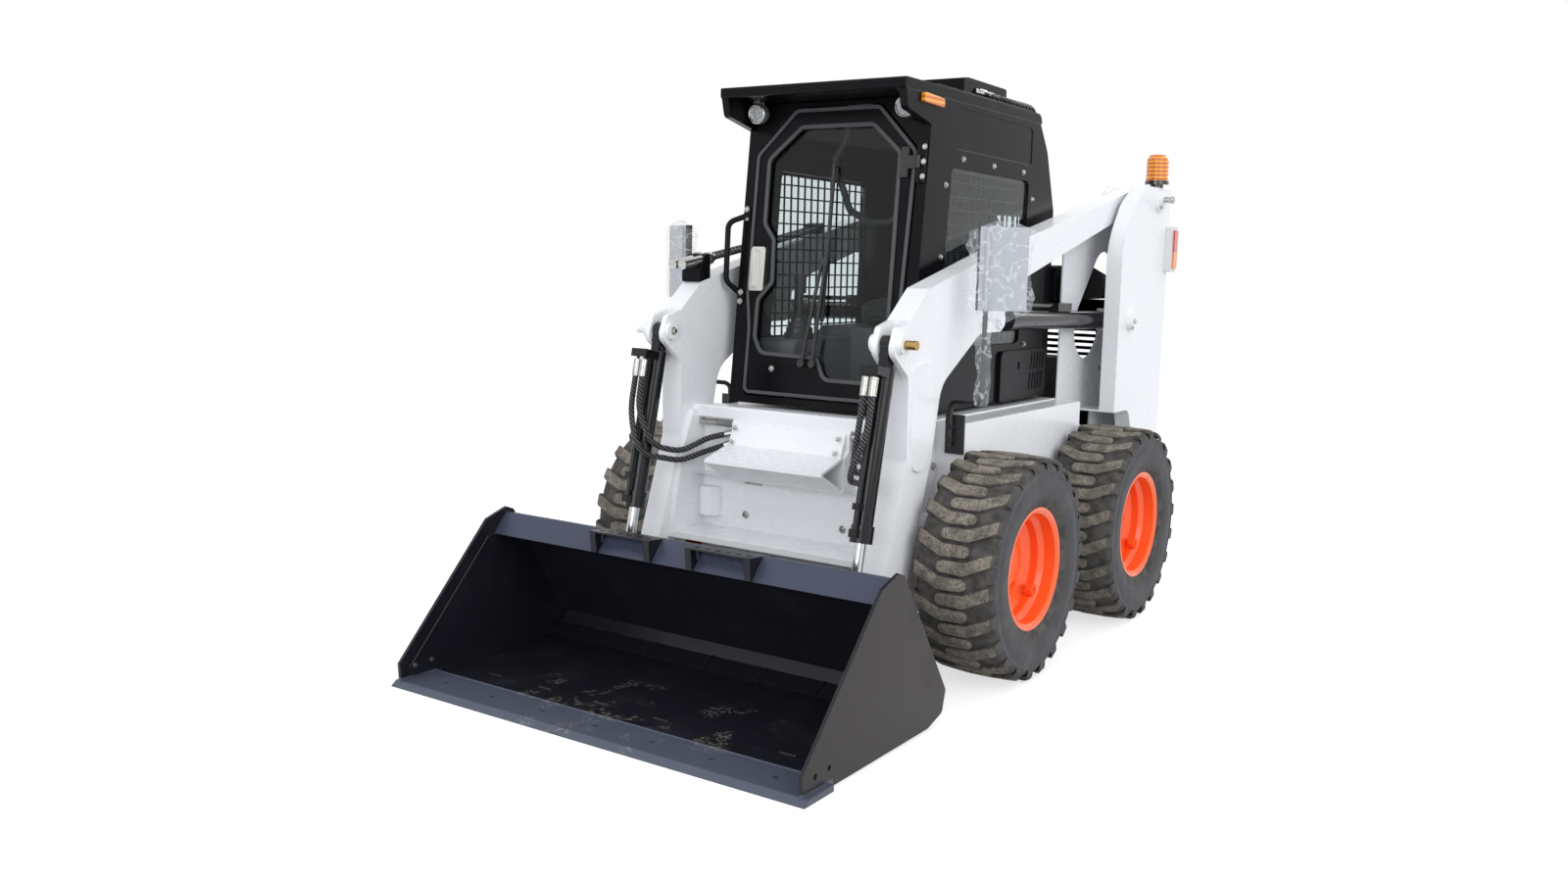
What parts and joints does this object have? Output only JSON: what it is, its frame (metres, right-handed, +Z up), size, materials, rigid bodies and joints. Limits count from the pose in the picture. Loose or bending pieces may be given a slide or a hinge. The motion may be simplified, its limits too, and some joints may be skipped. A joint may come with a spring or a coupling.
{
  "type": "skid steer loader",
  "caption": "Compact wheeled skid steer loader with radial lift arms, enclosed cab and a digging bucket on a quick-attach frame.",
  "frame": {"origin": "on the ground below the middle of the overall length and width", "axes": "+Z up; -Y is the front, where the bucket is; +X is the left side of the machine"},
  "size_m": [1.77, 3.381, 2.201],
  "materials": {
    "amber_lens": "gloss",
    "black_paint": "satin",
    "black_plastic": "matte",
    "bucket_paint": "satin",
    "clear_glass": "clear",
    "cylinder_black": "gloss",
    "engine_iron": "matte",
    "fitting_steel": "brushed",
    "hose_rubber": "matte",
    "lamp_face": "gloss",
    "red_lens": "gloss",
    "rim_orange": "gloss",
    "rod_chrome": "polished",
    "seat_cover": "matte",
    "tyre_rubber": "matte",
    "white_paint": "satin"
  },
  "bodies": {
    "root": {"axle_housings": "black_paint", "beacon": "amber_lens", "cab_fittings": "black_paint", "cab_floor": "black_paint", "cab_front": "black_paint", "cab_glass": "clear_glass", "cab_rear": "black_paint", "cab_roof": "black_paint", "cab_sides": "black_paint", "chassis_frame": "white_paint", "controls": "black_plastic", "engine_block": "engine_iron", "engine_hood": "black_paint", "mirrors": "black_plastic", "roof_unit": "black_paint", "seat": "seat_cover", "side_covers": "black_paint", "side_markers": "amber_lens", "tail_lamps": "red_lens", "towers": "white_paint", "window_grilles": "black_paint", "work_lamps": "lamp_face"},
    "wheel_front_left": {"tyre_front_left": "tyre_rubber", "rim_front_left": "rim_orange"},
    "wheel_front_right": {"tyre_front_right": "tyre_rubber", "rim_front_right": "rim_orange"},
    "wheel_rear_left": {"tyre_rear_left": "tyre_rubber", "rim_rear_left": "rim_orange"},
    "wheel_rear_right": {"tyre_rear_right": "tyre_rubber", "rim_rear_right": "rim_orange"},
    "lift_arms": {"lift_arms": "white_paint", "front_crossmember": "white_paint", "arm_hoses": "hose_rubber", "arm_fittings": "fitting_steel", "coupler_bracket": "black_paint"},
    "lift_cylinder_left": {"lift_barrel_left": "cylinder_black"},
    "lift_piston_left": {"lift_rod_left": "rod_chrome"},
    "lift_cylinder_right": {"lift_barrel_right": "cylinder_black"},
    "lift_piston_right": {"lift_rod_right": "rod_chrome"},
    "tilt_cylinder_left": {"tilt_barrel_left": "cylinder_black"},
    "tilt_piston_left": {"tilt_rod_left": "rod_chrome"},
    "tilt_cylinder_right": {"tilt_barrel_right": "cylinder_black"},
    "tilt_piston_right": {"tilt_rod_right": "rod_chrome"},
    "bucket": {"quick_attach": "bucket_paint", "bucket_shell": "bucket_paint", "cutting_edge": "bucket_paint"},
    "door": {"door_frame": "black_paint", "door_glass": "clear_glass", "door_seals": "hose_rubber", "door_fittings": "black_plastic"},
    "tailgate": {"tailgate": "black_paint"}
  },
  "joints": [
    {"name": "wheel_front_left_spin", "type": "hinge", "parent": "root", "child": "wheel_front_left", "pos_m": [0.7315, -0.2395, 0.406], "axis": [-1, 0, 0], "continuous": true},
    {"name": "wheel_front_right_spin", "type": "hinge", "parent": "root", "child": "wheel_front_right", "pos_m": [-0.7315, -0.2395, 0.406], "axis": [-1, 0, 0], "continuous": true},
    {"name": "wheel_rear_left_spin", "type": "hinge", "parent": "root", "child": "wheel_rear_left", "pos_m": [0.7315, 0.8235, 0.406], "axis": [-1, 0, 0], "continuous": true},
    {"name": "wheel_rear_right_spin", "type": "hinge", "parent": "root", "child": "wheel_rear_right", "pos_m": [-0.7315, 0.8235, 0.406], "axis": [-1, 0, 0], "continuous": true},
    {"name": "lift_arms_raise", "type": "hinge", "parent": "root", "child": "lift_arms", "pos_m": [0, 1.5105, 1.787], "axis": [-1, 0, 0], "range_deg": [0, 65]},
    {"name": "bucket_tilt", "type": "hinge", "parent": "lift_arms", "child": "bucket", "pos_m": [0, -0.7405, 0.225], "axis": [-1, 0, 0], "range_deg": [-100, 28]},
    {"name": "lift_cylinder_left_swing", "type": "hinge", "parent": "root", "child": "lift_cylinder_left", "pos_m": [0.495, 1.2105, 1.24], "axis": [-1, 0, 0], "range_deg": [-1, 64.5]},
    {"name": "lift_piston_left_slide", "type": "slide", "parent": "lift_cylinder_left", "child": "lift_piston_left", "axis": [0, -0.9997, 0.0261], "range_m": [-0.005, 0.68]},
    {"name": "tilt_cylinder_left_swing", "type": "hinge", "parent": "lift_arms", "child": "tilt_cylinder_left", "pos_m": [0.495, -0.6925, 1.206], "axis": [-1, 0, 0], "range_deg": [-2, 1]},
    {"name": "tilt_piston_left_slide", "type": "slide", "parent": "tilt_cylinder_left", "child": "tilt_piston_left", "axis": [0, -0.2146, -0.9767], "range_m": [-0.09, 0.29]},
    {"name": "lift_cylinder_right_swing", "type": "hinge", "parent": "root", "child": "lift_cylinder_right", "pos_m": [-0.495, 1.2105, 1.24], "axis": [-1, 0, 0], "range_deg": [-1, 64.5]},
    {"name": "lift_piston_right_slide", "type": "slide", "parent": "lift_cylinder_right", "child": "lift_piston_right", "axis": [0, -0.9997, 0.0261], "range_m": [-0.005, 0.68]},
    {"name": "tilt_cylinder_right_swing", "type": "hinge", "parent": "lift_arms", "child": "tilt_cylinder_right", "pos_m": [-0.495, -0.6925, 1.206], "axis": [-1, 0, 0], "range_deg": [-2, 1]},
    {"name": "tilt_piston_right_slide", "type": "slide", "parent": "tilt_cylinder_right", "child": "tilt_piston_right", "axis": [0, -0.2146, -0.9767], "range_m": [-0.09, 0.29]},
    {"name": "door_swing", "type": "hinge", "parent": "root", "child": "door", "pos_m": [0.368, -0.39942, 0.92359], "axis": [0, 0.1063, 0.9943], "range_deg": [0, 88]},
    {"name": "tailgate_swing", "type": "hinge", "parent": "root", "child": "tailgate", "pos_m": [0.425, 1.6785, 0.9], "axis": [0, 0, -1], "range_deg": [0, 100]}
  ],
  "couplings": [
    {"joint": "lift_cylinder_left_swing", "follows": "lift_arms_raise", "ratio": 0.97},
    {"joint": "lift_piston_left_slide", "follows": "lift_arms_raise", "m_per_rad": 0.5897},
    {"joint": "tilt_cylinder_left_swing", "follows": "bucket_tilt", "ratio": 0.013},
    {"joint": "tilt_piston_left_slide", "follows": "bucket_tilt", "m_per_rad": -0.1547},
    {"joint": "lift_cylinder_right_swing", "follows": "lift_arms_raise", "ratio": 0.97},
    {"joint": "lift_piston_right_slide", "follows": "lift_arms_raise", "m_per_rad": 0.5897},
    {"joint": "tilt_cylinder_right_swing", "follows": "bucket_tilt", "ratio": 0.013},
    {"joint": "tilt_piston_right_slide", "follows": "bucket_tilt", "m_per_rad": -0.1547}
  ]
}
